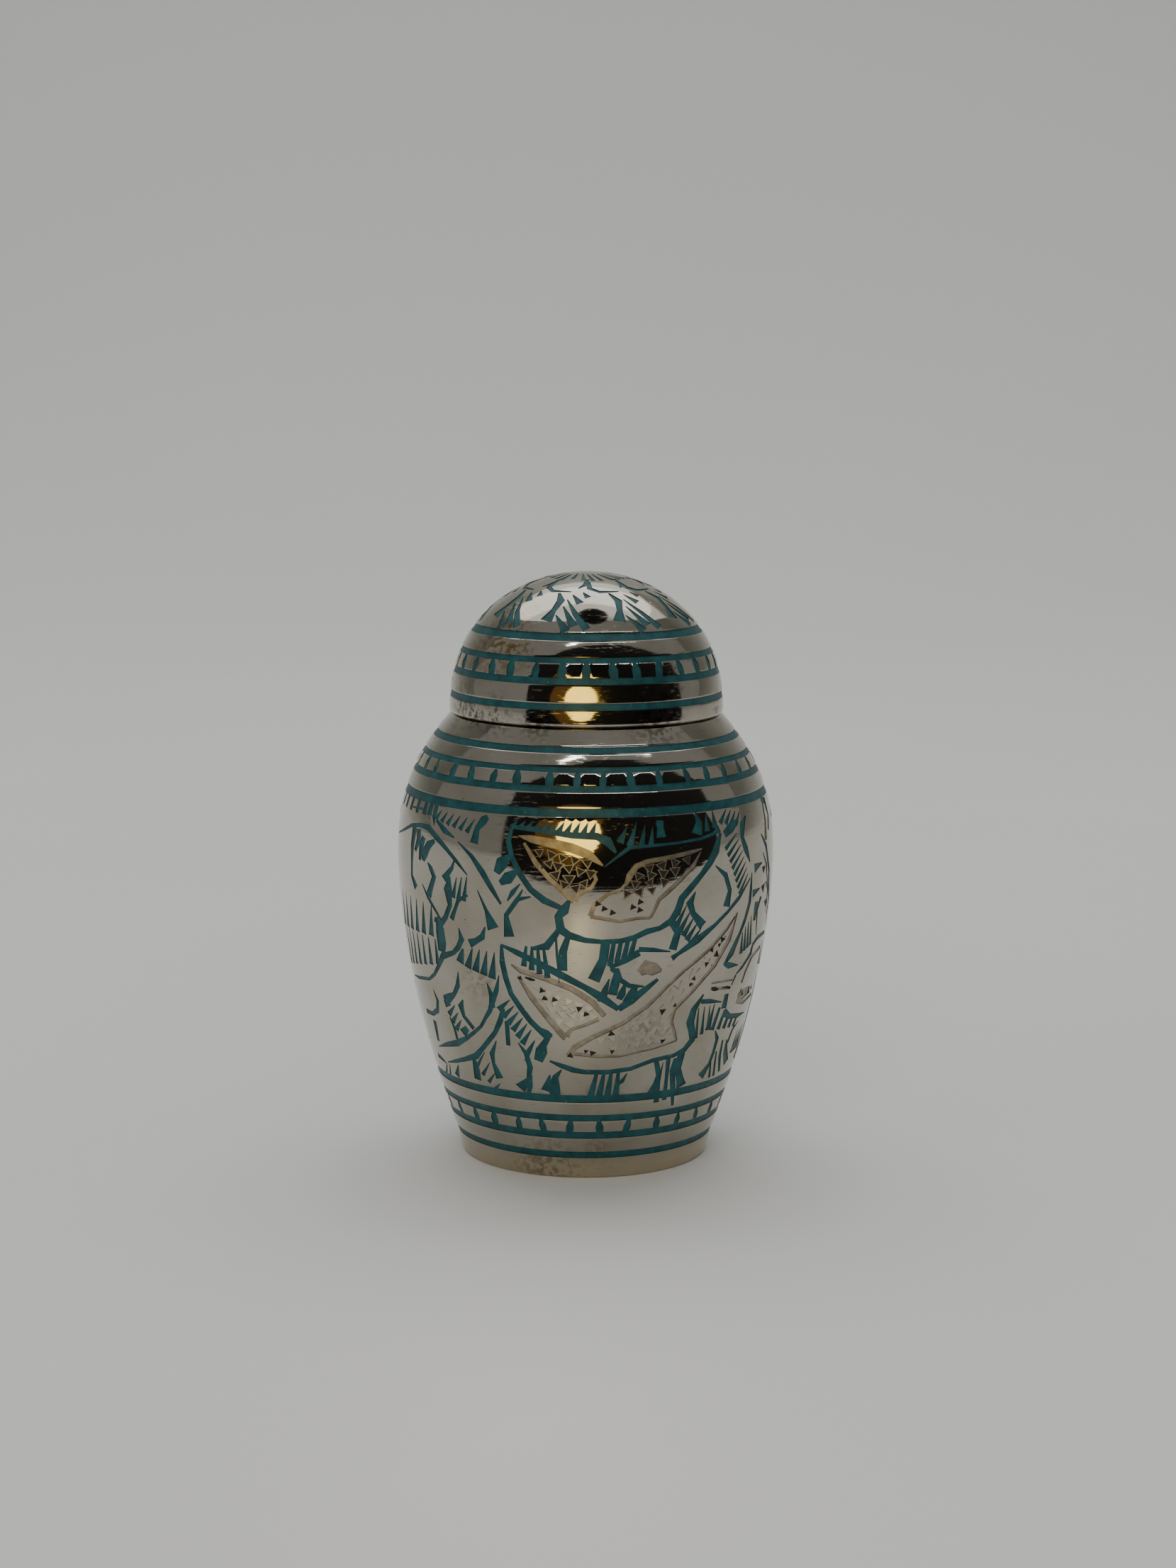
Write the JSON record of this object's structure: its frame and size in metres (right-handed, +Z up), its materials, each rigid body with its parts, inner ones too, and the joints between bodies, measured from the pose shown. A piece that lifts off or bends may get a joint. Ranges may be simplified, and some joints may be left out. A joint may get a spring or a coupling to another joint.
{
  "type": "keepsake cremation urn",
  "caption": "Small turned metal urn with a swelling hollow body, bands of rings and ticks, engraved flying doves, and a domed lid that lifts off its neck.",
  "frame": {"origin": "centre of the flat underside", "axes": "+Z up along the axis of turning, -Y towards the front that the picture shows, +X to the right of that front"},
  "size_m": [0.048, 0.048, 0.0745],
  "materials": {
    "nickel_plate": "polished nickel plate over brass, engraved lines filled with teal enamel"
  },
  "bodies": {
    "root": {"urn_body": "nickel_plate", "lid": "nickel_plate"}
  },
  "joints": []
}
